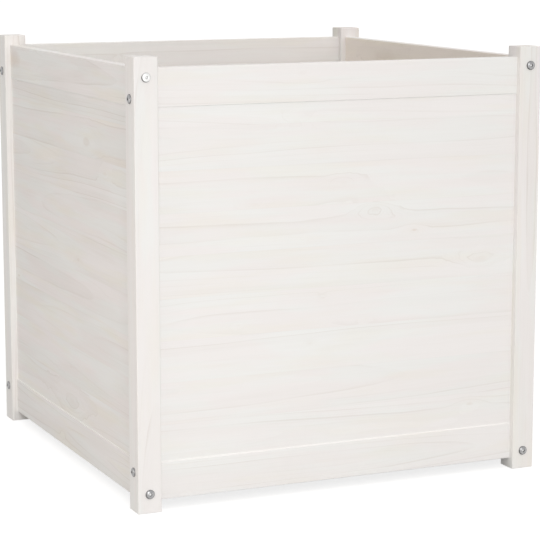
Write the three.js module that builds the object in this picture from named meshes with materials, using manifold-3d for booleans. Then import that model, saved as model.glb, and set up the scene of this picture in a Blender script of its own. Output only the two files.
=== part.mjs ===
// A square planter box in white-washed pine. Four corner posts stand a little above and below the
// rails between them. Each side is a top rail, a bottom rail and an edge-glued panel whose tongue
// sits in grooves all round. A button-head bolt through the post holds each end of every rail, in
// a threaded insert in the rail's end grain. Inside, two bearers carry a floor of loose slats.
// Millimetres, +Z up. The front faces -Y, and the origin is on the ground under the box's middle.

import * as THREE from 'three';
import { mergeVertices } from 'three/addons/utils/BufferGeometryUtils.js';
import Module from 'manifold-3d';

const wasm = await Module();
wasm.setup();

// The whole box
const WIDTH = 600;
const DEPTH = 600;
const HEIGHT = 600;

// Corner posts
const POST_SIZE = 33;
const POST_OVERHANG = 14.5; // from the end of a post to the rail beside it
const POST_ARRIS = 1.5; // radius along the post's long edges
const POST_END_EASE = 0.8; // radius round the post's ends

// Rails, set in the middle of the posts' faces
const RAIL_HEIGHT = 51;
const RAIL_THICKNESS = 16;
const RAIL_ARRIS = 1.2;

// Panels, set in the middle of the rails
const PANEL_THICKNESS = 13;
const TONGUE_THICKNESS = 6;
const TONGUE_LENGTH = 4;
const PANEL_PLAY = 0.3; // gap round a panel's tongue in its grooves

// Bolts, and the inserts that they screw into
const BOLT_SPREAD = 28; // height between the two bolts that cross in one end of a post
const BOLT_DIAMETER = 6;
const BOLT_REACH = 17; // length of the bolt beyond the post
const BOLT_TIP = 1;
const HEAD_DIAMETER = 12.6;
const HEAD_HEIGHT = 3;
const HEAD_RIM = 0.7; // upright edge under the head's dome
const SOCKET_ACROSS_FLATS = 4;
const SOCKET_DEPTH = 1.8;
const INSERT_DIAMETER = 10;
const INSERT_SPARE = 3; // length of the insert past the bolt's tip
const INSERT_SINK = 0.5; // from the rail's end down to the insert
const INSERT_CHAMFER = 0.8;
const BORE_PLAY = 0.3; // gap round a bolt, an insert or a screw in its bore
const BORE_END_SPACE = 2; // depth of an insert's bore past the insert

// Floor
const FLOOR_HEIGHT = 57; // from the ground to the top of the slats
const SLAT_COUNT = 6;
const SLAT_THICKNESS = 12;
const SLAT_GAP = 8;
const SLAT_ARRIS = 1.2;
const BEARER_HEIGHT = 25;
const BEARER_THICKNESS = 18;
const BEARER_ARRIS = 1;
const FLOOR_PLAY = 1; // gap at the ends of the slats and bearers
const SCREW_DIAMETER = 4;
const SCREW_HEAD_DIAMETER = 7.6;
const SCREW_BITE = 10; // length of the screw in the rail
const SCREW_POINT = 4;
const SCREW_INSET = 80; // from the end of the rail to the screw
const SLOT_WIDTH = 1;
const SLOT_DEPTH = 1;

// Fineness of the round shapes, and how far a cutter runs past the face that it opens
const EASE_STEPS = 3;
const HEAD_STEPS = 20;
const DOME_STEPS = 4;
const BORE_STEPS = 12;
const CUT_OVERRUN = 2;

const FINISHES = {
  post: { color: 0xefece6, roughness: 0.55, metalness: 0 },
  rail: { color: 0xefe9e3, roughness: 0.55, metalness: 0 },
  panel: { color: 0xefeae2, roughness: 0.58, metalness: 0 },
  floor: { color: 0xd9c09a, roughness: 0.75, metalness: 0 },
  bolt: { color: 0xb9babb, roughness: 0.28, metalness: 1 },
  insert: { color: 0x9c9fa0, roughness: 0.45, metalness: 1 },
  screw: { color: 0xb8a878, roughness: 0.4, metalness: 1 },
};

// Sizes that follow from the ones above
const RAIL_INNER_FACE = (POST_SIZE + RAIL_THICKNESS) / 2; // in from the outside of the posts
const RAIL_MIDDLE = POST_OVERHANG + RAIL_HEIGHT / 2; // from the end of the posts
const PANEL_OPENING = HEIGHT - 2 * (POST_OVERHANG + RAIL_HEIGHT);
const GROOVE_WIDTH = TONGUE_THICKNESS + 2 * PANEL_PLAY;
const GROOVE_DEPTH = TONGUE_LENGTH + PANEL_PLAY;
const INSERT_LENGTH = BOLT_REACH + INSERT_SPARE - INSERT_SINK;
const INSERT_BORE_DEPTH = INSERT_SINK + INSERT_LENGTH + BORE_END_SPACE;
const BOLT_BORE_RADIUS = BOLT_DIAMETER / 2 + BORE_PLAY;
const QUARTER_TURN = Math.PI / 2;

// Bolts that run along X, through the posts into the front and back rails, lie on the panel's side
// of the rail's middle. Bolts that run along Y lie on the other side, so that the two pass.
const NEAR_PANEL = 1;
const NEAR_POST_END = -1;

// Each side as seen from outside it, with the names of the posts at its left and right
const SIDES = [
  { name: 'front', turn: 0, across: WIDTH, out: DEPTH / 2, ends: ['left', 'right'] },
  { name: 'right', turn: QUARTER_TURN, across: DEPTH, out: WIDTH / 2, ends: ['front', 'back'] },
  { name: 'back', turn: 2 * QUARTER_TURN, across: WIDTH, out: DEPTH / 2, ends: ['right', 'left'] },
  { name: 'left', turn: 3 * QUARTER_TURN, across: DEPTH, out: WIDTH / 2, ends: ['back', 'front'] },
];

// The two levels of rails, and which way the panel lies from each
const LEVELS = [
  { name: 'top', panelWay: -1, middle: HEIGHT - RAIL_MIDDLE },
  { name: 'bottom', panelWay: 1, middle: RAIL_MIDDLE },
];

/** A named piece with a finish of its own. */
function piece(name, geometry, finish) {
  const mesh = new THREE.Mesh(geometry, new THREE.MeshStandardMaterial(FINISHES[finish]));
  mesh.name = name;
  return mesh;
}

/** A geometry as a solid that can be cut and joined. */
function toSolid(geometry) {
  const bare = geometry.clone();
  bare.deleteAttribute('normal');
  bare.deleteAttribute('uv');
  const merged = mergeVertices(bare);
  return new wasm.Manifold(new wasm.Mesh({
    numProp: 3,
    vertProperties: merged.attributes.position.array,
    triVerts: Uint32Array.from(merged.index.array),
  }));
}

function toGeometry(solid) {
  const { vertProperties, triVerts } = solid.getMesh();
  const geometry = new THREE.BufferGeometry();
  geometry.setAttribute('position', new THREE.BufferAttribute(vertProperties, 3));
  geometry.setIndex(new THREE.BufferAttribute(triVerts, 1));
  geometry.computeVertexNormals();
  return geometry;
}

/** The geometry left when every cutter has been taken out of a body. */
function cut(body, cutters) {
  const left = cutters.reduce((solid, cutter) => solid.subtract(toSolid(cutter)), toSolid(body));
  return toGeometry(left);
}

/** A closed outline through corners [u, v, radius], each rounded off by its radius. */
function easedOutline(corners) {
  const outline = new THREE.Shape();
  corners.forEach(([u, v, radius], index) => {
    const corner = new THREE.Vector2(u, v);
    const [start, end] = [index - 1, (index + 1) % corners.length].map((neighbour) => {
      const [x, y] = corners.at(neighbour);
      return new THREE.Vector2(x, y).sub(corner).setLength(radius).add(corner);
    });
    if (index === 0) {
      outline.moveTo(start.x, start.y);
    } else {
      outline.lineTo(start.x, start.y);
    }
    if (radius > 0) {
      outline.quadraticCurveTo(corner.x, corner.y, end.x, end.y);
    }
  });
  outline.closePath();
  return outline;
}

/** The outline of a board's end, with all four edges eased. */
function boardOutline(width, height, arris) {
  const [u, v] = [width / 2, height / 2];
  return easedOutline([[-u, -v, arris], [u, -v, arris], [u, v, arris], [-u, v, arris]]);
}

/** An outline extruded along Z, centred, with its two ends eased. */
function extrudeUp(outline, length, endEase) {
  const geometry = new THREE.ExtrudeGeometry(outline, {
    depth: length - 2 * endEase,
    curveSegments: EASE_STEPS,
    bevelEnabled: endEase > 0,
    bevelThickness: endEase,
    bevelSize: endEase,
    bevelOffset: -endEase,
    bevelSegments: EASE_STEPS,
  });
  return geometry.translate(0, 0, endEase - length / 2);
}

/** An outline drawn in Y and Z, extruded along X and centred. */
function extrudeAcross(outline, length) {
  const along = new THREE.Matrix4().makeBasis(
    new THREE.Vector3(0, 1, 0),
    new THREE.Vector3(0, 0, 1),
    new THREE.Vector3(1, 0, 0),
  );
  return extrudeUp(outline, length, 0).applyMatrix4(along);
}

/** A round cutter along Y, from the given depth up to a little past y = 0. */
function borer(radius, depth) {
  const length = depth + CUT_OVERRUN;
  const geometry = new THREE.CylinderGeometry(radius, radius, length, BORE_STEPS);
  return geometry.translate(0, CUT_OVERRUN - length / 2, 0);
}

/** The height of the bolts of one level of rails that lie on the given side of the rail's middle. */
function boltHeight(level, way) {
  return level.middle + level.panelWay * way * BOLT_SPREAD / 2;
}

/** The bolt side of the rails on one side of the box. */
function boltWay(side) {
  return side.name === 'front' || side.name === 'back' ? NEAR_PANEL : NEAR_POST_END;
}

/** A corner post, bored for its four bolts and grooved on the two faces that meet panels. */
function postGeometry(xWay, yWay) {
  const body = extrudeUp(boardOutline(POST_SIZE, POST_SIZE, POST_ARRIS), HEIGHT, POST_END_EASE);
  const cutters = [];
  for (const level of LEVELS) {
    const through = POST_SIZE + CUT_OVERRUN;
    const alongX = borer(BOLT_BORE_RADIUS, through).translate(0, through / 2, 0);
    const alongY = alongX.clone();
    alongX.rotateZ(QUARTER_TURN);
    cutters.push(alongX.translate(0, 0, boltHeight(level, NEAR_PANEL) - HEIGHT / 2));
    cutters.push(alongY.translate(0, 0, boltHeight(level, NEAR_POST_END) - HEIGHT / 2));
  }
  const grooveHeight = PANEL_OPENING + 2 * GROOVE_DEPTH;
  const [reach, middle] = [2 * GROOVE_DEPTH, POST_SIZE / 2];
  const xGroove = new THREE.BoxGeometry(reach, GROOVE_WIDTH, grooveHeight);
  cutters.push(xGroove.translate(-xWay * middle, 0, 0));
  const yGroove = new THREE.BoxGeometry(GROOVE_WIDTH, reach, grooveHeight);
  cutters.push(yGroove.translate(0, -yWay * middle, 0));
  return cut(body, cutters);
}

/** The end outline of a rail, with the panel's groove in the edge that faces the panel. */
function railOutline(panelWay) {
  const [u, v] = [RAIL_THICKNESS / 2, panelWay * RAIL_HEIGHT / 2];
  const [g, floor] = [GROOVE_WIDTH / 2, v - panelWay * GROOVE_DEPTH];
  return easedOutline([
    [-u, -v, RAIL_ARRIS],
    [u, -v, RAIL_ARRIS],
    [u, v, RAIL_ARRIS],
    [g, v, 0],
    [g, floor, 0],
    [-g, floor, 0],
    [-g, v, 0],
    [-u, v, RAIL_ARRIS],
  ]);
}

/** The places along a side where screws hold its bearer. */
function screwPlaces(span) {
  return [SCREW_INSET - span / 2, span / 2 - SCREW_INSET];
}

/** A rail with an insert's bore in each end and pilot holes for any screws in its inner face. */
function railGeometry(side, level, span, screws) {
  const cutters = [-1, 1].map((end) => {
    const bore = borer(INSERT_DIAMETER / 2 + BORE_PLAY, INSERT_BORE_DEPTH);
    const height = boltHeight(level, boltWay(side)) - level.middle;
    return bore.rotateZ(-end * QUARTER_TURN).translate(end * span / 2, 0, height);
  });
  for (const screw of screws) {
    const pilot = screwBody(BORE_PLAY);
    const [x, y, z] = screw;
    cutters.push(pilot.translate(x, y, z - level.middle));
  }
  return cut(extrudeAcross(railOutline(level.panelWay), span), cutters);
}

/** An edge-glued panel that fills its opening, with a tongue round all four edges. */
function panelGeometry(span) {
  const field = new THREE.BoxGeometry(span, PANEL_THICKNESS, PANEL_OPENING);
  const reach = 2 * TONGUE_LENGTH;
  const tongue = new THREE.BoxGeometry(span + reach, TONGUE_THICKNESS, PANEL_OPENING + reach);
  return toGeometry(toSolid(field).add(toSolid(tongue)));
}

/** A domed bolt along Y, with the underside of its head at y = 0 and a hex socket in the dome. */
function boltGeometry() {
  const [shank, head, length] = [BOLT_DIAMETER / 2, HEAD_DIAMETER / 2, POST_SIZE + BOLT_REACH];
  const profile = [
    [0, -length],
    [shank - BOLT_TIP, -length],
    [shank, BOLT_TIP - length],
    [shank, 0],
    [head, 0],
  ];
  for (let step = 0; step < DOME_STEPS; step += 1) {
    const angle = step / DOME_STEPS * QUARTER_TURN;
    const rise = (HEAD_HEIGHT - HEAD_RIM) * Math.sin(angle);
    profile.push([head * Math.cos(angle), HEAD_RIM + rise]);
  }
  profile.push([0, HEAD_HEIGHT]);
  const points = profile.map(([radius, y]) => new THREE.Vector2(radius, y));
  const corner = SOCKET_ACROSS_FLATS / Math.sqrt(3);
  const socket = new THREE.CylinderGeometry(corner, corner, 2 * SOCKET_DEPTH, 6);
  return cut(new THREE.LatheGeometry(points, HEAD_STEPS), [socket.translate(0, HEAD_HEIGHT, 0)]);
}

/** A threaded insert along Y, a sleeve whose mouth is at y = 0. */
function insertGeometry() {
  const [inner, outer] = [BOLT_BORE_RADIUS, INSERT_DIAMETER / 2];
  const profile = [
    [inner, -INSERT_LENGTH],
    [outer - INSERT_CHAMFER, -INSERT_LENGTH],
    [outer, INSERT_CHAMFER - INSERT_LENGTH],
    [outer, 0],
    [inner, 0],
    [inner, -INSERT_LENGTH],
  ];
  const points = profile.map(([radius, y]) => new THREE.Vector2(radius, y));
  return new THREE.LatheGeometry(points, BORE_STEPS);
}

/** A countersunk screw along Y, with its head's flat face at y = 0, grown all round by a gap. */
function screwBody(grow) {
  const [shank, head] = [SCREW_DIAMETER / 2 + grow, SCREW_HEAD_DIAMETER / 2 + grow];
  const length = BEARER_THICKNESS + SCREW_BITE + grow;
  const profile = [
    [0, -length],
    [shank, SCREW_POINT - length],
    [shank, shank - head],
    [head, 0],
    [head, grow],
    [0, grow],
  ];
  const points = profile.map(([radius, y]) => new THREE.Vector2(radius, y));
  return new THREE.LatheGeometry(points, BORE_STEPS);
}

/** One side of the box seen from outside it: rails, panel, bolts, inserts and any floor bearer. */
function buildSide(side) {
  const span = side.across - 2 * POST_SIZE;
  const group = new THREE.Group();
  group.rotation.z = side.turn;
  const plane = POST_SIZE / 2 - side.out;
  const bearer = side.name === 'left' || side.name === 'right' ? buildBearer(side, span) : null;
  for (const level of LEVELS) {
    const screws = bearer && level.name === 'bottom' ? bearer.screws : [];
    const places = screws.map(({ position }) => [position.x, position.y - plane, position.z]);
    const rail = piece(
      `${side.name}_${level.name}_rail`,
      railGeometry(side, level, span, places),
      'rail',
    );
    rail.position.set(0, plane, level.middle);
    group.add(rail);
    side.ends.forEach((end, index) => {
      const way = index === 0 ? -1 : 1;
      const name = `${side.name}_${level.name}_${end}`;
      const bolt = piece(`bolt_${name}`, boltGeometry(), 'bolt');
      const insert = piece(`insert_${name}`, insertGeometry(), 'insert');
      const height = boltHeight(level, boltWay(side));
      bolt.position.set(way * side.across / 2, plane, height);
      insert.position.set(way * (span / 2 - INSERT_SINK), plane, height);
      bolt.rotation.z = -way * QUARTER_TURN;
      insert.rotation.z = -way * QUARTER_TURN;
      group.add(bolt, insert);
    });
  }
  const panel = piece(`${side.name}_panel`, panelGeometry(span), 'panel');
  panel.position.set(0, plane, HEIGHT / 2);
  group.add(panel);
  if (bearer) {
    group.add(bearer.batten, ...bearer.screws);
  }
  return group;
}

/** The batten that carries the floor on one side, and the two screws that hold it to the rail. */
function buildBearer(side, span) {
  const outline = boardOutline(BEARER_THICKNESS, BEARER_HEIGHT, BEARER_ARRIS);
  const height = FLOOR_HEIGHT - SLAT_THICKNESS - BEARER_HEIGHT / 2;
  const railFace = RAIL_INNER_FACE - side.out;
  const holes = screwPlaces(span).map((x) => screwBody(BORE_PLAY).translate(x, BEARER_THICKNESS / 2, 0));
  const batten = piece(
    `${side.name}_floor_bearer`,
    cut(extrudeAcross(outline, span - 2 * FLOOR_PLAY), holes),
    'floor',
  );
  batten.position.set(0, railFace + BEARER_THICKNESS / 2, height);
  const slot = new THREE.BoxGeometry(SCREW_HEAD_DIAMETER + CUT_OVERRUN, 2 * SLOT_DEPTH, SLOT_WIDTH);
  const screws = screwPlaces(span).map((x, index) => {
    const screw = piece(`screw_${side.name}_${side.ends[index]}`, cut(screwBody(0), [slot]), 'screw');
    screw.position.set(x, railFace + BEARER_THICKNESS, height);
    return screw;
  });
  return { batten, screws };
}

/** The four corner posts. */
function buildPosts() {
  const posts = [];
  for (const [yName, yWay] of [['front', -1], ['back', 1]]) {
    for (const [xName, xWay] of [['left', -1], ['right', 1]]) {
      const post = piece(`${yName}_${xName}_post`, postGeometry(xWay, yWay), 'post');
      const [x, y] = [(WIDTH - POST_SIZE) / 2, (DEPTH - POST_SIZE) / 2];
      post.position.set(xWay * x, yWay * y, HEIGHT / 2);
      posts.push(post);
    }
  }
  return posts;
}

/** The floor slats, spread evenly between the front and back posts and laid on the bearers. */
function buildSlats() {
  const length = WIDTH - 2 * RAIL_INNER_FACE - 2 * FLOOR_PLAY;
  const field = DEPTH - 2 * POST_SIZE - 2 * FLOOR_PLAY;
  const width = (field - (SLAT_COUNT - 1) * SLAT_GAP) / SLAT_COUNT;
  const outline = boardOutline(width, SLAT_THICKNESS, SLAT_ARRIS);
  return Array.from({ length: SLAT_COUNT }, (_, index) => {
    const slat = piece(`floor_slat_${index + 1}`, extrudeAcross(outline, length), 'floor');
    const y = index * (width + SLAT_GAP) + (width - field) / 2;
    slat.position.set(0, y, FLOOR_HEIGHT - SLAT_THICKNESS / 2);
    return slat;
  });
}

const planter = new THREE.Group();
planter.add(...buildPosts(), ...SIDES.map(buildSide), ...buildSlats());

export default planter;
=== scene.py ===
# The looks of a versailles planter in white-washed pine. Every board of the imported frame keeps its
# shape and gets a material of its own: glued staves, growth rings, knots and fibres under a thin
# white wash. The sixteen button-head bolts are made again with finer heads.
# Lengths are in metres, the front faces -Y, and the ground is at 0.

import math
import random

import bpy
from mathutils import Matrix, Vector


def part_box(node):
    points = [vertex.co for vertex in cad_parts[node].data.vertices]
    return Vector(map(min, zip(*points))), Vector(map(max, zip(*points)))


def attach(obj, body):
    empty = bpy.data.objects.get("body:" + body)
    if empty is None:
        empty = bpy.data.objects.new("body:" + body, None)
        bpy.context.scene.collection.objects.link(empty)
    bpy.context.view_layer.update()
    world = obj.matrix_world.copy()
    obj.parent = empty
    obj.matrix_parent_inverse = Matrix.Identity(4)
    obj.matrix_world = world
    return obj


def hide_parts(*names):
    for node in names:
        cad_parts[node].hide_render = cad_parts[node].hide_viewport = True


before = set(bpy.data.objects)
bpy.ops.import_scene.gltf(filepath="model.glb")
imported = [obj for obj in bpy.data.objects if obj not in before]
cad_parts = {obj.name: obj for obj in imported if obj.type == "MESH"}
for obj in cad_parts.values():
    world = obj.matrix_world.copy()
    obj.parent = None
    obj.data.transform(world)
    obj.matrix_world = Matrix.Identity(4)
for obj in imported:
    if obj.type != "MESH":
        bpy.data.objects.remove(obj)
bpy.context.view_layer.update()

MM = 0.001

# Camera at the photograph's angle
LENS = 136.12
SENSOR_WIDTH = 36.0
EYE = Vector((-1.1937, -2.7425, 0.7643))
TURN_RIGHT = math.radians(23.91)
TILT_DOWN = math.radians(9.57)
CLIP_END = 200.0

# Light and backdrop
FLOOR_SPAN = 80.0
FLOOR_COLOUR = (0.46, 0.46, 0.45, 1.0)
FLOOR_SEEN = (0.38, 0.38, 0.38, 1.0)  # the floor's own colour to the camera, under its glow
FLOOR_GLOW = 0.76
AMBIENT_COLOUR = (1.0, 0.973, 0.942, 1.0)
AMBIENT_LEVEL = 0.52
AMBIENT_SLOPE = 0.66  # how much brighter than that the studio is towards its bright side
BRIGHT_SIDE = Vector((0.05, -0.60, 0.75)).normalized()
SUN_STRENGTH = 0.42
SUN_SPREAD = math.radians(10.0)
SUN_FROM = Vector((-0.16, -0.95, 0.25))
FRONT_LAMP_POWER = 2.65
FRONT_LAMP_AT = Vector((-0.58, -1.55, 0.45))
SIDE_LAMP_POWER = 2.05
SIDE_LAMP_AT = Vector((-1.30, -0.35, 0.25))
SIDE_LAMP_COLOUR = (1.0, 0.91, 0.83)
LAMP_SIZE = 0.6
LAMPS_AIM = Vector((0.0, -0.2, 0.3))

# Axes of the planter that run along a board, across it and through it
LEVEL_FRONT = (0, 2, 1)
LEVEL_SIDE = (1, 2, 0)
UPRIGHT = (2, 0, 1)
FLAT_SLAT = (0, 1, 2)

STAVE_WIDTH = 56 * MM
WHOLE_BOARD = 1.0  # a stave width that leaves the board in one piece
MIDDLE = 0.5  # the shift that puts a stave's middle on the board's middle
PANEL_SHIFT = 0.3
LEDGE_HEIGHT = 65.5 * MM  # of the bottom rails' upper faces above the ground

# Growth rings. The pith runs below a board's face, a little to one side and at a slight slope.
RING_WIDTH = 4.8 * MM
PITH_SIDE_SPREAD = 30 * MM
PITH_DEPTH = 25 * MM
PITH_DEPTH_SPREAD = 50 * MM
PITH_SLOPE_SPREAD = 0.06
PITH_WANDER = 22 * MM
RING_RIPPLE = 0.9 * MM
FINE_LINES = 3.0  # in each ring
FINE_LINE_STRENGTH = 0.22
JOINT_WIDTH = 0.7 * MM

# Fineness of the noises: waves in a metre along the board, across it and through it
WANDER_WAVES = (2.0, 11.0, 11.0)
RIPPLE_WAVES = (16.0, 60.0, 60.0)
FIBRE_WAVES = (14.0, 900.0, 900.0)
STREAK_WAVES = (5.0, 170.0, 170.0)
COVER_WAVES = (5.0, 30.0, 30.0)
PINK_WAVES = (5.0, 34.0, 34.0)
RESIN_WAVES = (6.0, 42.0, 42.0)
PATCH_WAVES = (4.5, 17.0, 17.0)
WEAR_WAVES = (55.0, 55.0, 55.0)
KNOT_WAVES = (60.0, 90.0, 90.0)
CLOUD_WAVES = (420.0, 420.0, 420.0)
SPECK_WAVES = (2400.0, 2400.0, 2400.0)

# Colours of the wash and of what shows through it
WASH = (0.872, 0.879, 0.878, 1.0)
PAINTED_LIGHT_WASH = (0.95, 0.95, 0.945, 1.0)  # painted light: a lighter wash, a painted highlight at the panels' feet and painted light over the shade on faces that look down
GRAIN = (0.600, 0.550, 0.505, 1.0)
PINK = (0.900, 0.815, 0.822, 1.0)
RESIN = (0.850, 0.815, 0.700, 1.0)
THIN_COAT_AND_BOUNCE = (0.960, 0.875, 0.755, 1.0)  # the inner faces, where the wash is thinnest; on the right side's inner faces it is mostly painted bounce light, warm like light bounced inside the box
KNOT = (0.560, 0.420, 0.320, 1.0)

# How much of its own colour each mark gives at its strongest, on the front panel's wash
PINK_SHARE = 0.20
PINK_LUCK = 0.12  # what a stave can have besides
RESIN_SHARE = 0.18
BAND_SHARE = 0.040
STREAK_SHARE = 0.030
FIBRE_SHARE = 0.035
LINE_SHARE = 0.20
PATCH_SHARE = 0.022
STAVE_SHARE = 0.045
HALO_SHARE = 0.10
JOINT_SHARE = 0.05
END_SHARE = 0.05
HEART_SHARE = 0.30
WORN_SHARE = 0.13
FOOT_HIGHLIGHT = 0.35  # of the lighter wash at a panel's foot, a painted highlight just above the bottom rail's ledge
UNDERSIDE_LIGHT = 0.8  # and on the faces and arrises that look down, painted light over their shade
RIGHT_INSIDE_COAT_AND_BOUNCE = 0.76  # on the right side's inner faces: thinner wash and mostly painted bounce light
TWO_COATS_INSIDE = 0.06

# Sheen and relief of the washed wood
WASH_ROUGHNESS = 0.47
FIBRE_ROUGHNESS = 0.10
LINE_ROUGHNESS = -0.06
END_ROUGHNESS = 0.12
WOOD_RELIEF = 0.22
WOOD_RELIEF_DEPTH = 0.2 * MM
SHARP_BOARD_ANGLE = math.radians(35.0)  # an edge as steep as this stays sharp

# Colours of the metal
ZINC = (0.43, 0.43, 0.43, 1.0)
DULL_ZINC = (0.29, 0.29, 0.30, 1.0)
# painted shade on the bolts' rims and socket walls
PAINTED_SHADE_ZINC = (0.09, 0.09, 0.09, 1.0)
# a painted highlight: the zinc of the one bolt whose whole head is painted as if lit white
HIGHLIGHT_ZINC = (0.86, 0.86, 0.85, 1.0)
# a painted highlight on the socket floors
SOCKET_HIGHLIGHT_ZINC = (0.75, 0.75, 0.75, 1.0)
YELLOW_ZINC = (0.62, 0.58, 0.46, 1.0)
ZINC_RELIEF = 0.2
ZINC_RELIEF_DEPTH = 0.05 * MM
UNEVEN_SHEEN = 0.22


class Bench:
    """One node tree, with short calls that put nodes into it and join them up."""

    def __init__(self, tree):
        self.tree = tree

    def put(self, kind, feeds=None, **settings):
        made = self.tree.nodes.new(kind)
        for name, value in settings.items():
            setattr(made, name, value)
        for name, value in (feeds or {}).items():
            self.feed(made.inputs[name], value)
        return made

    def feed(self, socket, value):
        if isinstance(value, bpy.types.NodeSocket):
            self.tree.links.new(value, socket)
        else:
            socket.default_value = value

    def math(self, operation, *values):
        return self.put("ShaderNodeMath", dict(enumerate(values)), operation=operation).outputs[0]

    def vector(self, operation, *values):
        made = self.put("ShaderNodeVectorMath", dict(enumerate(values)), operation=operation)
        return made.outputs["Value" if operation in ("LENGTH", "DOT_PRODUCT") else "Vector"]

    def split(self, vector):
        return self.put("ShaderNodeSeparateXYZ", {0: vector}).outputs[:]

    def join(self, x, y, z):
        return self.put("ShaderNodeCombineXYZ", {0: x, 1: y, 2: z}).outputs[0]

    def ramp(self, value, low, high, start=0.0, end=1.0):
        """Goes smoothly from the start to the end while the value goes from low to high."""
        feeds = {0: value, 1: low, 2: high, 3: start, 4: end}
        made = self.put("ShaderNodeMapRange", feeds, interpolation_type="SMOOTHSTEP")
        return made.outputs[0]

    def noise(self, place, stretch, shift, detail=2.0, rough=0.5):
        """Cloudy noise between 0 and 1, with its own fineness along each axis."""
        spread = self.vector("MULTIPLY_ADD", place, stretch, shift)
        feeds = {"Vector": spread, "Scale": 1.0, "Detail": detail, "Roughness": rough}
        return self.put("ShaderNodeTexNoise", feeds).outputs[0]

    def blend(self, share, first, second):
        """The first colour, with that share of the second."""
        feeds = {0: share, 6: first, 7: second}
        return self.put("ShaderNodeMix", feeds, data_type="RGBA").outputs[2]


def new_group(name, inputs, outputs):
    """An empty shader group: its bench, its inputs by name, and its output node."""
    tree = bpy.data.node_groups.new(name, "ShaderNodeTree")
    for label, kind in inputs:
        tree.interface.new_socket(name=label, in_out="INPUT", socket_type="NodeSocket" + kind)
    for label, kind in outputs:
        tree.interface.new_socket(name=label, in_out="OUTPUT", socket_type="NodeSocket" + kind)
    bench = Bench(tree)
    source = bench.put("NodeGroupInput")
    return bench, {label: source.outputs[label] for label, _ in inputs}, bench.put("NodeGroupOutput")


def stave_group():
    """Cuts a board into glued staves, and gives each its own random numbers."""
    bench, given, result = new_group(
        "glued staves",
        (("Board", "Vector"), ("Stave Width", "Float"), ("Shift", "Float"), ("Seed", "Float")),
        (("Stave", "Vector"), ("Chance", "Vector"), ("Joint", "Float")),
    )
    along, across, through = bench.split(given["Board"])
    turns = bench.math("DIVIDE", across, given["Stave Width"])
    turns = bench.math("ADD", turns, given["Shift"])
    index = bench.math("FLOOR", turns)
    part = bench.math("SUBTRACT", bench.math("FRACT", turns), 0.5)
    own_across = bench.math("MULTIPLY", part, given["Stave Width"])
    key = bench.join(index, given["Seed"], 0.5)
    chance = bench.put("ShaderNodeTexWhiteNoise", {"Vector": key}).outputs["Color"]
    to_edge = bench.math("SUBTRACT", 0.5, bench.math("ABSOLUTE", part))
    to_edge = bench.math("MULTIPLY", to_edge, given["Stave Width"])
    bench.feed(result.inputs["Stave"], bench.join(along, own_across, through))
    bench.feed(result.inputs["Chance"], chance)
    bench.feed(result.inputs["Joint"], bench.ramp(to_edge, 0.0, JOINT_WIDTH, 1.0, 0.0))
    return bench.tree


def figure_group():
    """Growth rings round a pith that wanders below the board's face, and the fibres along it."""
    bench, given, result = new_group(
        "pine figure",
        (("Stave", "Vector"), ("Chance", "Vector"), ("Push", "Float"), ("Ring", "Float")),
        (("Line", "Float"), ("Band", "Float"), ("Fibre", "Float"), ("Streak", "Float")),
    )
    along, across, through = bench.split(given["Stave"])
    first, second, third = bench.split(given["Chance"])
    shift = bench.vector("SCALE", given["Chance"])
    shift.node.inputs["Scale"].default_value = 9.0
    wander = bench.noise(given["Stave"], WANDER_WAVES, shift, 2.0, 0.4)
    wander = bench.math("MULTIPLY", bench.math("SUBTRACT", wander, 0.5), PITH_WANDER)
    ripple = bench.noise(given["Stave"], RIPPLE_WAVES, shift, 2.0, 0.5)
    ripple = bench.math("MULTIPLY", bench.math("SUBTRACT", ripple, 0.5), RING_RIPPLE)
    side = bench.math("MULTIPLY_ADD", bench.math("SUBTRACT", first, 0.5), PITH_SIDE_SPREAD, across)
    slope = bench.math("MULTIPLY", bench.math("SUBTRACT", third, 0.5), PITH_SLOPE_SPREAD)
    deep = bench.math("MULTIPLY_ADD", second, PITH_DEPTH_SPREAD, PITH_DEPTH)
    deep = bench.math("ADD", bench.math("ADD", deep, through), wander)
    deep = bench.math("MULTIPLY_ADD", along, slope, deep)
    reach = bench.math("MULTIPLY_ADD", side, side, bench.math("MULTIPLY", deep, deep))
    reach = bench.math("SQRT", reach)
    reach = bench.math("ADD", bench.math("ADD", reach, given["Push"]), ripple)
    turns = bench.math("DIVIDE", reach, given["Ring"])
    index = bench.math("FLOOR", turns)
    part = bench.math("FRACT", turns)
    feeds = {"W": index, "Vector": given["Chance"]}
    luck = bench.put("ShaderNodeTexWhiteNoise", feeds, noise_dimensions="4D")
    rise = bench.ramp(part, 0.60, 0.95)
    fall = bench.ramp(part, 0.965, 1.0, 1.0, 0.0)
    line = bench.math("MULTIPLY", bench.math("POWER", rise, 3.0), fall)
    fine_part = bench.math("FRACT", bench.math("MULTIPLY", turns, FINE_LINES))
    rise = bench.ramp(fine_part, 0.55, 0.95)
    fall = bench.ramp(fine_part, 0.96, 1.0, 1.0, 0.0)
    fine = bench.math("MULTIPLY", rise, fall)
    line = bench.math("MULTIPLY_ADD", fine, FINE_LINE_STRENGTH, line)
    strength = bench.math("MULTIPLY_ADD", luck.outputs["Value"], 0.9, 0.1)
    steep = bench.math("DIVIDE", bench.math("ABSOLUTE", side), reach)
    strength = bench.math("MULTIPLY", strength, bench.ramp(steep, 0.04, 0.34, 0.10, 1.0))
    bench.feed(result.inputs["Line"], bench.math("MULTIPLY", line, strength))
    bench.feed(result.inputs["Band"], luck.outputs["Value"])
    fibre = bench.noise(given["Stave"], FIBRE_WAVES, shift, 2.0, 0.6)
    streak = bench.noise(given["Stave"], STREAK_WAVES, shift, 3.0, 0.6)
    bench.feed(result.inputs["Fibre"], fibre)
    bench.feed(result.inputs["Streak"], streak)
    return bench.tree


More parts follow.
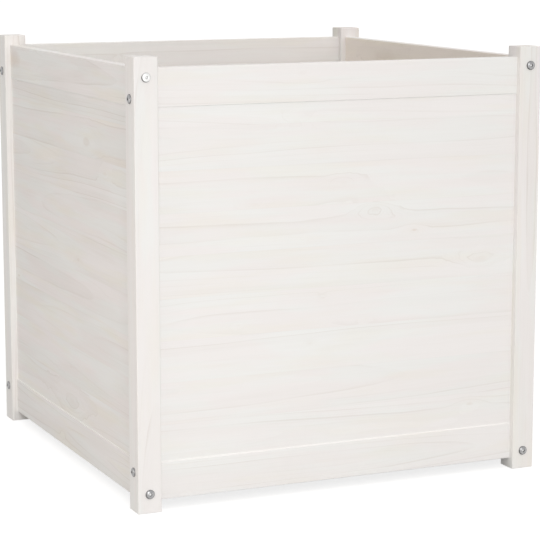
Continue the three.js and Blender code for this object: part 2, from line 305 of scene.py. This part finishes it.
def knot_group():
    """Adds one knot to a board: the rings swell round it, and it has a dark heart and a halo."""
    bench, given, result = new_group(
        "knot",
        (
            ("Board", "Vector"), ("Place", "Vector"), ("Radius", "Float"), ("Swell", "Float"),
            ("Darkness", "Float"), ("Push", "Float"), ("Heart", "Float"), ("Halo", "Float"),
        ),
        (("Push", "Float"), ("Heart", "Float"), ("Halo", "Float")),
    )
    offset = bench.vector("SUBTRACT", given["Board"], given["Place"])
    wobble = bench.noise(given["Board"], KNOT_WAVES, (0.0, 0.0, 0.0), 1.0)
    wobble = bench.math("MULTIPLY_ADD", wobble, 0.7, 0.65)
    flat = bench.vector("MULTIPLY", offset, (0.42, 1.0, 0.25))
    gap = bench.math("DIVIDE", bench.vector("LENGTH", flat), given["Radius"])
    gap = bench.math("MULTIPLY", gap, wobble)
    swell = bench.math("EXPONENT", bench.math("MULTIPLY", bench.math("MULTIPLY", gap, gap), -1.0))
    push = bench.math("MULTIPLY", swell, given["Radius"])
    push = bench.math("MULTIPLY", push, given["Swell"])
    bench.feed(result.inputs["Push"], bench.math("ADD", given["Push"], push))
    heart = bench.math("MULTIPLY", bench.ramp(gap, 0.16, 0.42, 1.0, 0.0), given["Darkness"])
    bench.feed(result.inputs["Heart"], bench.math("MAXIMUM", given["Heart"], heart))
    halo = bench.math("MULTIPLY", swell, given["Darkness"])
    bench.feed(result.inputs["Halo"], bench.math("MAXIMUM", given["Halo"], halo))
    return bench.tree


def edge_group():
    """Where the arrises are, and where the end grain shows, from the normal in the board's axes."""
    bench, given, result = new_group(
        "arrises and ends",
        (("Facing", "Vector"), ("Board", "Vector")),
        (("Edge", "Float"), ("End", "Float")),
    )
    steep = bench.vector("ABSOLUTE", given["Facing"])
    along, across, through = bench.split(steep)
    most = bench.math("MAXIMUM", bench.math("MAXIMUM", along, across), through)
    wear = bench.noise(given["Board"], WEAR_WAVES, (3.0, 1.0, 2.0), 3.0, 0.6)
    edge = bench.ramp(most, 0.80, 0.985, 1.0, 0.0)
    edge = bench.math("MULTIPLY", edge, bench.ramp(wear, 0.25, 0.60, 0.5, 1.0))
    bench.feed(result.inputs["Edge"], edge)
    bench.feed(result.inputs["End"], bench.ramp(along, 0.70, 0.90))
    return bench.tree


def wash_group():
    """The thin white wash over the wood: its colour, sheen and relief."""
    bench, given, result = new_group(
        "white wash",
        (
            ("Stave", "Vector"), ("Chance", "Vector"), ("Line", "Float"), ("Band", "Float"),
            ("Fibre", "Float"), ("Streak", "Float"), ("Heart", "Float"), ("Halo", "Float"),
            ("Joint", "Float"), ("Edge", "Float"), ("End", "Float"), ("Painted Light", "Float"),
            ("Inside Share", "Float"), ("Thinness", "Float"), ("Wash", "Color"), ("Grain", "Color"),
            ("Pink", "Color"), ("Resin", "Color"), ("Knot", "Color"), ("Painted Light Wash", "Color"),
            ("Thin Coat And Bounce", "Color"),
        ),
        (("Colour", "Color"), ("Roughness", "Float"), ("Height", "Float")),
    )
    _, second, third = bench.split(given["Chance"])
    shift = bench.vector("SCALE", given["Chance"])
    shift.node.inputs["Scale"].default_value = 5.0
    thin = given["Thinness"]
    cover = bench.noise(given["Stave"], COVER_WAVES, shift, 2.0)
    cover = bench.ramp(cover, 0.36, 0.64, 0.15, 1.2)
    pink = bench.noise(given["Stave"], PINK_WAVES, bench.vector("ADD", shift, (2.3, 4.1, 0.7)), 3.0)
    resin = bench.noise(given["Stave"], RESIN_WAVES, bench.vector("ADD", shift, (7.9, 1.3, 5.2)), 3.0)
    patch = bench.noise(given["Stave"], PATCH_WAVES, bench.vector("ADD", shift, (1.7, 6.4, 3.9)), 1.0)
    pink_share = bench.math("MULTIPLY_ADD", second, PINK_LUCK, PINK_SHARE)
    pink_share = bench.math("MULTIPLY", bench.ramp(pink, 0.39, 0.57), pink_share)
    pink_share = bench.math("MULTIPLY", pink_share, bench.math("SQRT", thin))
    resin_share = bench.math("MULTIPLY", bench.ramp(resin, 0.46, 0.70), RESIN_SHARE)
    band_share = bench.math("MULTIPLY", bench.ramp(given["Band"], 0.3, 1.0), BAND_SHARE)
    streak_share = bench.math("MULTIPLY", bench.ramp(given["Streak"], 0.42, 0.75), STREAK_SHARE)
    fibre_share = bench.math("MULTIPLY", bench.ramp(given["Fibre"], 0.40, 0.80), FIBRE_SHARE)
    line_share = bench.math("MULTIPLY", bench.math("MULTIPLY", given["Line"], cover), LINE_SHARE)
    line_share = bench.math("DIVIDE", line_share, bench.math("SQRT", thin))
    patch_share = bench.math("MULTIPLY", bench.ramp(patch, 0.40, 0.60), PATCH_SHARE)
    patch_share = bench.math("MULTIPLY", patch_share, thin)
    stave_share = bench.math("MULTIPLY_ADD", third, STAVE_SHARE, patch_share)
    tone = bench.math("ADD", bench.math("ADD", band_share, streak_share), stave_share)
    tone = bench.math("ADD", bench.math("ADD", fibre_share, line_share), tone)
    # the inner faces' tint: a thinner coat, and on the right side mostly painted bounce light
    colour = bench.blend(given["Inside Share"], given["Wash"], given["Thin Coat And Bounce"])
    colour = bench.blend(pink_share, colour, given["Pink"])
    colour = bench.blend(bench.math("MULTIPLY", resin_share, thin), colour, given["Resin"])
    halo_share = bench.math("MULTIPLY", bench.math("MULTIPLY", given["Halo"], HALO_SHARE), thin)
    colour = bench.blend(halo_share, colour, given["Resin"])
    colour = bench.blend(bench.math("MULTIPLY", tone, thin), colour, given["Grain"])
    joint_share = bench.math("MULTIPLY", bench.math("MULTIPLY", given["Joint"], JOINT_SHARE), thin)
    colour = bench.blend(joint_share, colour, given["Grain"])
    end_share = bench.math("MULTIPLY", bench.math("MULTIPLY", given["End"], END_SHARE), thin)
    colour = bench.blend(end_share, colour, given["Grain"])
    heart_share = bench.math("MULTIPLY", bench.math("MULTIPLY", given["Heart"], HEART_SHARE), thin)
    colour = bench.blend(heart_share, colour, given["Knot"])
    worn_share = bench.math("MULTIPLY", given["Edge"], WORN_SHARE)
    colour = bench.blend(worn_share, colour, given["Grain"])
    # painted light: a lighter wash as a highlight at the panels' feet and over the shade on faces that
    # look down
    colour = bench.blend(given["Painted Light"], colour, given["Painted Light Wash"])
    rough = bench.math("MULTIPLY_ADD", given["Fibre"], FIBRE_ROUGHNESS, WASH_ROUGHNESS)
    rough = bench.math("MULTIPLY_ADD", given["Line"], LINE_ROUGHNESS, rough)
    rough = bench.math("MULTIPLY_ADD", given["End"], END_ROUGHNESS, rough)
    height = bench.math("MULTIPLY", given["Line"], 0.5)
    height = bench.math("MULTIPLY_ADD", given["Fibre"], 0.45, height)
    height = bench.math("MULTIPLY_ADD", given["Streak"], 0.7, height)
    height = bench.math("MULTIPLY_ADD", given["Heart"], 0.5, height)
    bench.feed(result.inputs["Colour"], colour)
    bench.feed(result.inputs["Roughness"], rough)
    bench.feed(result.inputs["Height"], height)
    return bench.tree


STAVES = stave_group()
FIGURE = figure_group()
KNOTS = knot_group()
EDGES = edge_group()
WHITE_WASH = wash_group()


def place_group(bench, tree, feeds):
    """Puts a shader group into a material, feeds it, and gives its outputs."""
    made = bench.put("ShaderNodeGroup")
    made.node_tree = tree
    for name, value in feeds.items():
        bench.feed(made.inputs[name], value)
    return made.outputs


def painted_light_share(bench, name, height, rise):
    """Painted light in a lighter wash: a painted highlight at a panel's foot, above the ledge, and
    painted light over the shade on faces and arrises that look down.

    The rise is how far the face looks up, from -1 to 1.
    """
    if name.endswith("panel"):
        low, high = LEDGE_HEIGHT + 0.7 * MM, LEDGE_HEIGHT + 2.0 * MM
        return bench.ramp(height, low, high, FOOT_HIGHLIGHT, 0.0)
    return bench.ramp(rise, -0.45, -0.10, UNDERSIDE_LIGHT, 0.0)


def board_material(name, axes, centre, seed, stave_width, shift, knots, thinness, inside_share):
    """White-washed pine for one board, with its grain along the first of the three axes.

    The face that looks into the box has had fewer coats and is tinted by the share that is
    given; on the right side that tint is mostly painted bounce light, warm like light bounced inside
    the box.
    """
    material = bpy.data.materials.new(name + "_wood")
    material.use_nodes = True
    bench = Bench(material.node_tree)
    bench.tree.nodes.clear()
    spot = bench.put("ShaderNodeTexCoord").outputs["Object"]
    facing = bench.split(bench.put("ShaderNodeNewGeometry").outputs["Normal"])
    # the painted highlight at the panels' feet and the painted light on faces that look down
    painted_light = painted_light_share(bench, name, bench.split(spot)[2], facing[2])
    spot = bench.split(bench.vector("SUBTRACT", spot, centre))
    board = bench.join(*(spot[axis] for axis in axes))
    facing = [facing[axis] for axis in axes]
    inward = -1.0 if centre[axes[2]] > 0 else 1.0
    # the inner faces' tint: a thinner coat, and on the right side mostly painted bounce light
    inside = bench.ramp(bench.math("MULTIPLY", facing[2], inward), 0.5, 0.9, 0.0, inside_share)
    facing = bench.join(*facing)
    stave = place_group(
        bench, STAVES,
        {"Board": board, "Stave Width": stave_width, "Shift": shift, "Seed": seed},
    )
    swell = {"Push": 0.0, "Heart": 0.0, "Halo": 0.0}
    for along, across, radius, push, darkness in knots:
        place = (along * MM, across * MM, 0.0)
        feeds = {"Board": board, "Place": place, "Radius": radius * MM, "Swell": push, **swell}
        feeds["Darkness"] = darkness
        made = place_group(bench, KNOTS, feeds)
        swell = {label: made[label] for label in swell}
    feeds = {"Stave": stave["Stave"], "Chance": stave["Chance"], "Push": swell["Push"]}
    figure = place_group(bench, FIGURE, {**feeds, "Ring": RING_WIDTH})
    edges = place_group(bench, EDGES, {"Facing": facing, "Board": board})
    wash = place_group(
        bench, WHITE_WASH,
        {
            "Stave": stave["Stave"], "Chance": stave["Chance"], "Line": figure["Line"],
            "Band": figure["Band"], "Fibre": figure["Fibre"], "Streak": figure["Streak"],
            "Heart": swell["Heart"], "Halo": swell["Halo"], "Joint": stave["Joint"],
            "Edge": edges["Edge"], "End": edges["End"], "Painted Light": painted_light, "Inside Share": inside,
            "Thinness": thinness,
            "Wash": WASH, "Grain": GRAIN, "Pink": PINK, "Resin": RESIN, "Knot": KNOT,
            "Painted Light Wash": PAINTED_LIGHT_WASH, "Thin Coat And Bounce": THIN_COAT_AND_BOUNCE,
        },
    )
    relief = bench.put(
        "ShaderNodeBump",
        {"Strength": WOOD_RELIEF, "Distance": WOOD_RELIEF_DEPTH, "Height": wash["Height"]},
    )
    skin = bench.put(
        "ShaderNodeBsdfPrincipled",
        {"Base Color": wash["Colour"], "Roughness": wash["Roughness"], "Normal": relief.outputs[0]},
    )
    bench.put("ShaderNodeOutputMaterial", {"Surface": skin.outputs[0]})
    return material


def plating_group():
    """Zinc plating: a cloudy tint, uneven sheen and a fine grain."""
    bench, given, result = new_group(
        "zinc plating",
        (("Place", "Vector"), ("Bright", "Color"), ("Dull", "Color"), ("Sheen", "Float")),
        (("Colour", "Color"), ("Roughness", "Float"), ("Height", "Float")),
    )
    cloud = bench.noise(given["Place"], CLOUD_WAVES, (0.0, 0.0, 0.0), 3.0, 0.6)
    speck = bench.noise(given["Place"], SPECK_WAVES, (4.0, 4.0, 4.0), 2.0, 0.6)
    tint = bench.blend(bench.ramp(cloud, 0.35, 0.70), given["Bright"], given["Dull"])
    rough = bench.math("MULTIPLY_ADD", cloud, UNEVEN_SHEEN, given["Sheen"])
    bench.feed(result.inputs["Colour"], tint)
    bench.feed(result.inputs["Roughness"], rough)
    bench.feed(result.inputs["Height"], speck)
    return bench.tree


PLATING = plating_group()


def steel_material(name, bright, dull, sheen, turned_head=False):
    """Plated steel. A turned head has painted shade on its rim, darkest at the lower left, and on its
    socket walls, and a painted highlight on its socket floor.
    """
    material = bpy.data.materials.new(name)
    material.use_nodes = True
    bench = Bench(material.node_tree)
    bench.tree.nodes.clear()
    spot = bench.put("ShaderNodeTexCoord").outputs["Object"]
    feeds = {"Place": spot, "Bright": bright, "Dull": dull, "Sheen": sheen}
    plating = place_group(bench, PLATING, feeds)
    colour = plating["Colour"]
    # painted shade on the rim, darkest at the lower left, and on the socket walls
    if turned_head:
        right, top, out = bench.split(spot)
        radius = bench.vector("LENGTH", bench.join(right, top, 0.0))
        lean = bench.vector("DOT_PRODUCT", spot, PAINTED_SHADE_SIDE)
        lean = bench.ramp(lean, -0.2 * HEAD_RADIUS, 0.8 * HEAD_RADIUS, 0.30, 1.0)
        rim = bench.math("MULTIPLY", bench.ramp(radius, RIM_STARTS, HEAD_RADIUS), lean)
        sunk = bench.ramp(out, HEAD_HEIGHT - 1.5 * MM, HEAD_HEIGHT - 0.2 * MM, 1.0, 0.0)
        wall = bench.ramp(radius, *SOCKET_FOOT)
        wall = bench.math("MULTIPLY", wall, bench.ramp(radius, *SOCKET_MOUTH, 1.0, 0.0))
        wall = bench.math("MULTIPLY", sunk, wall)
        dark = bench.math("MAXIMUM", rim, bench.math("MULTIPLY", wall, 0.7))
        colour = bench.blend(dark, colour, PAINTED_SHADE_ZINC)
        # a painted highlight on the socket floor
        floor = bench.math("MULTIPLY", sunk, bench.ramp(radius, *SOCKET_FOOT, 1.0, 0.0))
        colour = bench.blend(floor, colour, SOCKET_HIGHLIGHT_ZINC)
    relief = bench.put(
        "ShaderNodeBump",
        {"Strength": ZINC_RELIEF, "Distance": ZINC_RELIEF_DEPTH, "Height": plating["Height"]},
    )
    skin = bench.put(
        "ShaderNodeBsdfPrincipled",
        {
            "Base Color": colour, "Roughness": plating["Roughness"], "Metallic": 1.0,
            "Normal": relief.outputs[0],
        },
    )
    bench.put("ShaderNodeOutputMaterial", {"Surface": skin.outputs[0]})
    return material


def smooth_arrises_tree():
    """A modifier tree that joins a board's faces and shades its rounded arrises smoothly."""
    tree = bpy.data.node_groups.new("smooth arrises", "GeometryNodeTree")
    for way in ("INPUT", "OUTPUT"):
        tree.interface.new_socket(name="Geometry", in_out=way, socket_type="NodeSocketGeometry")
    tree.is_modifier = True
    bench = Bench(tree)
    source = bench.put("NodeGroupInput").outputs[0]
    joined = bench.put("GeometryNodeMergeByDistance", {"Geometry": source, "Distance": 0.01 * MM})
    feeds = {"Geometry": joined.outputs[0], "Name": "custom_normal"}
    plain = bench.put("GeometryNodeRemoveAttribute", feeds)
    feeds = {"Geometry": plain.outputs[0], "Shade Smooth": True}
    smooth = bench.put("GeometryNodeSetShadeSmooth", feeds)
    angle = bench.put("GeometryNodeInputMeshEdgeAngle").outputs["Unsigned Angle"]
    steep = bench.put("FunctionNodeCompare", {0: angle, 1: SHARP_BOARD_ANGLE}, operation="GREATER_THAN")
    feeds = {"Geometry": smooth.outputs[0], "Selection": steep.outputs[0], "Shade Smooth": False}
    sharp = bench.put("GeometryNodeSetShadeSmooth", feeds, domain="EDGE")
    bench.put("NodeGroupOutput", {0: sharp.outputs[0]})
    return tree


SMOOTH_ARRISES = smooth_arrises_tree()


def shade_smoothly(piece):
    joined = piece.modifiers.new("arrises", "NODES")
    joined.node_group = SMOOTH_ARRISES
    weighted = piece.modifiers.new("flat faces", "WEIGHTED_NORMAL")
    weighted.keep_sharp = True


# The boards' knots. Each is (along, across, radius) in millimetres from the board's middle, then
# how far it pushes the rings, by its radius, and how dark its heart is.
BOARD_KNOTS = {
    "front_panel": (
        (50.5, 86.0, 12, -1.1, 0.25), (214, 5, 15, -0.95, 0.2), (-130.4, 102.0, 10, -0.9, 0.1),
        (2, 124, 9, -1.0, 0.1), (-68, 208, 10, -1.0, 0.1), (110, 53, 7, 1.4, 1.0),
        (-27.5, -31.7, 6, 0.9, 0.4), (-152, -59, 6, 0.7, 0.3), (-47.3, -92.8, 5, 0.8, 0.4),
        (37.2, -65.2, 5, 0.6, 0.4), (201, -200.2, 9, -0.9, 0.5),
    ),
    "left_panel": (
        (-80.5, 170.6, 20, -0.8, 0.2), (-2.2, -218, 28, -0.7, 0.12), (-155.2, 135.4, 12, 0.8, 0.2),
        (-38.2, 0.4, 8, 0.8, 0.3), (250, -67, 7, 0.8, 0.8),
    ),
    "back_panel": ((120, 40, 18, -0.8, 0.2), (-150, -110, 9, 0.8, 0.6), (-60, 150, 14, -0.7, 0.2)),
    "right_panel": ((-140, 90, 16, -0.8, 0.2), (70, -60, 8, 0.8, 0.6), (190, -170, 19, -0.7, 0.3)),
    "back_top_rail": ((-116.5, -0.6, 5, 0.9, 0.8),),
    "right_top_rail": ((125, -6, 60, -0.25, 0.32),),
    "front_top_rail": ((-60, 12, 10, -0.7, 0.1),),
    "left_top_rail": ((252, 6, 42, -0.2, 0.35),),
    "left_bottom_rail": ((40, -8, 6, 0.8, 0.4),),
}
SIDES = ("front", "right", "back", "left")
# How thin the wash is, where 1 is that of the front panel
POST_THINNESS = {"front_left": 0.9, "front_right": 1.6, "back_left": 1.4, "back_right": 2.6}
SIDE_THINNESS = {"front": 1.0, "right": 1.2, "back": 1.2, "left": 2.0}
FLOOR_THINNESS = 1.4
FIRST_SEED = 3.7  # of the random numbers; each board's is one more than the last's


def dress_boards():
    boards = []
    for side in SIDES:
        axes = LEVEL_FRONT if side in ("front", "back") else LEVEL_SIDE
        boards.append((side + "_panel", axes, STAVE_WIDTH, PANEL_SHIFT, SIDE_THINNESS[side]))
        for level in ("top", "bottom"):
            boards.append((f"{side}_{level}_rail", axes, WHOLE_BOARD, MIDDLE, SIDE_THINNESS[side]))
    for corner, thinness in POST_THINNESS.items():
        boards.append((corner + "_post", UPRIGHT, WHOLE_BOARD, MIDDLE, thinness))
    for side in ("left", "right"):
        boards.append((side + "_floor_bearer", LEVEL_SIDE, WHOLE_BOARD, MIDDLE, FLOOR_THINNESS))
    for number in range(1, 7):
        boards.append((f"floor_slat_{number}", FLAT_SLAT, WHOLE_BOARD, MIDDLE, FLOOR_THINNESS))
    for number, (name, axes, width, shift, thinness) in enumerate(boards):
        seed = FIRST_SEED + number
        # the right side's inner faces get mostly painted bounce light besides their thinner coat
        inside_share = RIGHT_INSIDE_COAT_AND_BOUNCE if name.startswith("right_") else TWO_COATS_INSIDE
        knots = BOARD_KNOTS.get(name, ())
        low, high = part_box(name)
        centre = (low + high) / 2
        material = board_material(name, axes, centre, seed, width, shift, knots, thinness, inside_share)
        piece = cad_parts[name]
        piece.material_slots[0].material = material
        shade_smoothly(piece)


# Bolt heads
HEAD_SEGMENTS = 48
HEAD_RADIUS = 6.3 * MM
HEAD_HEIGHT = 3.0 * MM
HEAD_RIM = 0.7 * MM
RIM_STARTS = 4.6 * MM  # distance from the head's middle where the painted shade of the rim starts
SHANK_RADIUS = 3.0 * MM
TIP = 1.0 * MM
SOCKET_FLAT = 2.0 * MM  # from the socket's middle to its flats
SOCKET_DEPTH = 1.8 * MM
SOCKET_CONE = 0.45 * MM
SOCKET_FOOT = (1.3 * MM, 1.8 * MM)  # where the socket's floor gives way to its walls
SOCKET_MOUTH = (2.4 * MM, 2.7 * MM)  # and where the walls end
LIP_RADIUS = 2.75 * MM
SHARP_BOLT_ANGLE = math.radians(32.0)
DOME_STEPS = 9
PAINTED_SHADE_SIDE = (-0.6, -0.8, 0.0)  # the painted shade on the rims is darkest at the lower left
# this bolt's head gets a painted highlight, as if it reflected a lamp
HIGHLIGHTED_BOLT = "bolt_left_top_front"


def head_rings():
    """Rings from the bolt's tip to the bottom of its socket: (radius, height, hexagonal)."""
    low = LIP_RADIUS / HEAD_RADIUS
    rings = [(HEAD_RADIUS - 0.25 * MM, 0.0, False), (HEAD_RADIUS, 0.25 * MM, False)]
    rings.append((HEAD_RADIUS, HEAD_RIM, False))
    end = math.acos(low)
    for step in range(1, DOME_STEPS + 1):
        angle = end * step / DOME_STEPS
        rise = math.sin(angle) / math.sin(end)
        rings.append((HEAD_RADIUS * math.cos(angle), HEAD_RIM + (HEAD_HEIGHT - HEAD_RIM) * rise, False))
    rings.append((LIP_RADIUS - 0.15 * MM, HEAD_HEIGHT, False))
    rings.append((SOCKET_FLAT + 0.05 * MM, HEAD_HEIGHT - 0.12 * MM, True))
    rings.append((SOCKET_FLAT, HEAD_HEIGHT - 0.25 * MM, True))
    rings.append((SOCKET_FLAT, HEAD_HEIGHT - SOCKET_DEPTH, True))
    rings.append((SOCKET_FLAT * 0.92, HEAD_HEIGHT - SOCKET_DEPTH, False))
    return rings


def ring_points(radius, height, hexagonal, turn):
    """One ring of a bolt. The radius of a hexagonal one is that to its flats."""
    points = []
    for step in range(HEAD_SEGMENTS):
        angle = math.tau * step / HEAD_SEGMENTS
        reach = radius
        if hexagonal:
            reach = radius / math.cos((angle % (math.pi / 3)) - math.pi / 6)
        points.append((reach * math.cos(angle + turn), reach * math.sin(angle + turn), height))
    return points


def bolt_mesh(name, length, turn):
    """A button-head bolt along +Z with its seat at 0, its shank below and its head above."""
    rings = [(SHANK_RADIUS - 0.6 * TIP, -length, False), (SHANK_RADIUS, TIP - length, False)]
    rings.append((SHANK_RADIUS, 0.0, False))
    rings += head_rings()
    points = [(0.0, 0.0, -length)]
    for ring in rings:
        points += ring_points(*ring, turn)
    points.append((0.0, 0.0, HEAD_HEIGHT - SOCKET_DEPTH - SOCKET_CONE))
    last = len(points) - 1
    faces = []
    for step in range(HEAD_SEGMENTS):
        following = (step + 1) % HEAD_SEGMENTS
        faces.append((0, 1 + following, 1 + step))
        for ring in range(len(rings) - 1):
            base = 1 + ring * HEAD_SEGMENTS
            above = base + HEAD_SEGMENTS
            faces.append((base + step, base + following, above + following, above + step))
        top = 1 + (len(rings) - 1) * HEAD_SEGMENTS
        faces.append((top + step, top + following, last))
    mesh = bpy.data.meshes.new(name)
    mesh.from_pydata(points, [], faces)
    mesh.polygons.foreach_set("use_smooth", [True] * len(mesh.polygons))
    mesh.set_sharp_from_angle(angle=SHARP_BOLT_ANGLE)
    mesh.validate()
    return mesh


def place_bolts():
    """Puts a turned bolt in the place of each plain one, all with their sockets turned by chance."""
    plain_zinc = steel_material("bolt_zinc", ZINC, DULL_ZINC, 0.20, turned_head=True)
    # a lit copy of the zinc: a painted highlight for one bolt's head
    bright = steel_material("bright_bolt_zinc", HIGHLIGHT_ZINC, HIGHLIGHT_ZINC, 0.30, turned_head=True)
    luck = random.Random(41)
    for name in sorted(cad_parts):
        if not name.startswith("bolt_"):
            continue
        low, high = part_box(name)
        size = high - low
        axis = max(range(3), key=lambda way: size[way])
        outward = Vector((0.0, 0.0, 0.0))
        middle = (low + high) / 2
        outward[axis] = math.copysign(1.0, middle[axis])
        seat = middle + outward * (size[axis] / 2 - HEAD_HEIGHT)
        mesh = bolt_mesh(name + "_turned", size[axis] - HEAD_HEIGHT, luck.uniform(0.0, math.tau))
        mesh.materials.append(bright if name == HIGHLIGHTED_BOLT else plain_zinc)
        bolt = bpy.data.objects.new(name + "_turned", mesh)
        bpy.context.scene.collection.objects.link(bolt)
        turned = outward.to_track_quat("Z", "Y").to_matrix().to_4x4()
        bolt.matrix_world = Matrix.Translation(seat) @ turned
        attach(bolt, "root")
        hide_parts(name)


def dress_metal():
    place_bolts()
    insert = steel_material("insert_zinc", YELLOW_ZINC, DULL_ZINC, 0.30)
    screw = steel_material("screw_zinc", YELLOW_ZINC, DULL_ZINC, 0.22)
    for name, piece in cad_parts.items():
        if name.startswith(("insert_", "screw_")):
            piece.material_slots[0].material = insert if name.startswith("insert_") else screw
            shade_smoothly(piece)


def lay_floor():
    """A pale floor that keeps the planter's shadow and looks white to the camera."""
    mesh = bpy.data.meshes.new("studio_floor")
    half = FLOOR_SPAN / 2
    corners = [(-half, -half, 0.0), (half, -half, 0.0), (half, half, 0.0), (-half, half, 0.0)]
    mesh.from_pydata(corners, [], [(0, 1, 2, 3)])
    floor = bpy.data.objects.new("studio_floor", mesh)
    bpy.context.scene.collection.objects.link(floor)
    material = bpy.data.materials.new("floor_paint")
    material.use_nodes = True
    bench = Bench(material.node_tree)
    bench.tree.nodes.clear()
    path = bench.put("ShaderNodeLightPath").outputs
    seen = bench.math("MAXIMUM", path["Is Camera Ray"], path["Is Glossy Ray"])
    paint = bench.put(
        "ShaderNodeBsdfPrincipled",
        {
            "Base Color": bench.blend(seen, FLOOR_COLOUR, FLOOR_SEEN), "Roughness": 0.9,
            "Specular IOR Level": 0.0, "Emission Color": (1.0, 1.0, 1.0, 1.0),
            "Emission Strength": bench.math("MULTIPLY", seen, FLOOR_GLOW),
        },
    )
    bench.put("ShaderNodeOutputMaterial", {"Surface": paint.outputs[0]})
    mesh.materials.append(material)


def light_studio():
    """A soft studio: brighter above and in front, with a white backdrop, and three soft lamps."""
    world = bpy.data.worlds.new("studio")
    bpy.context.scene.world = world
    world.use_nodes = True
    bench = Bench(world.node_tree)
    bench.tree.nodes.clear()
    path = bench.put("ShaderNodeLightPath").outputs
    seen = bench.math("MAXIMUM", path["Is Camera Ray"], path["Is Glossy Ray"])
    seen = bench.math("MAXIMUM", seen, path["Is Transmission Ray"])
    way = bench.put("ShaderNodeTexCoord").outputs["Generated"]
    towards = bench.vector("DOT_PRODUCT", way, BRIGHT_SIDE)
    level = bench.math("MULTIPLY_ADD", towards, AMBIENT_SLOPE, AMBIENT_LEVEL)
    soft = bench.put("ShaderNodeBackground", {"Color": AMBIENT_COLOUR, "Strength": level})
    white = bench.put("ShaderNodeBackground", {"Color": (1.0, 1.0, 1.0, 1.0), "Strength": 1.0})
    mixed = bench.put("ShaderNodeMixShader", {0: seen, 1: soft.outputs[0], 2: white.outputs[0]})
    bench.put("ShaderNodeOutputWorld", {"Surface": mixed.outputs[0]})
    hang_sun()
    hang_lamp("front_lamp", FRONT_LAMP_POWER, FRONT_LAMP_AT, (1.0, 1.0, 1.0))
    hang_lamp("side_lamp", SIDE_LAMP_POWER, SIDE_LAMP_AT, SIDE_LAMP_COLOUR)


def hang_sun():
    """A wide, even light from the camera's side, low enough to throw no line under the rails."""
    lamp = bpy.data.lights.new("soft_front_light", "SUN")
    lamp.energy = SUN_STRENGTH
    lamp.angle = SUN_SPREAD
    hung = bpy.data.objects.new("soft_front_light", lamp)
    hung.rotation_euler = SUN_FROM.to_track_quat("Z", "Y").to_euler()
    bpy.context.scene.collection.objects.link(hung)


def hang_lamp(name, power, place, colour):
    lamp = bpy.data.lights.new(name, "AREA")
    lamp.energy = power
    lamp.color = colour
    lamp.size = LAMP_SIZE
    hung = bpy.data.objects.new(name, lamp)
    hung.location = place
    hung.visible_camera = False
    hung.rotation_euler = (place - LAMPS_AIM).to_track_quat("Z", "Y").to_euler()
    bpy.context.scene.collection.objects.link(hung)


def stand_camera():
    lens = bpy.data.cameras.new("camera")
    lens.lens = LENS
    lens.sensor_width = SENSOR_WIDTH
    lens.sensor_fit = "HORIZONTAL"
    lens.clip_end = CLIP_END
    camera = bpy.data.objects.new("camera", lens)
    camera.location = EYE
    camera.rotation_euler = (math.pi / 2 - TILT_DOWN, 0.0, -TURN_RIGHT)
    bpy.context.scene.collection.objects.link(camera)
    bpy.context.scene.camera = camera


bpy.context.scene.view_settings.view_transform = "Standard"
stand_camera()
light_studio()
lay_floor()
dress_boards()
dress_metal()
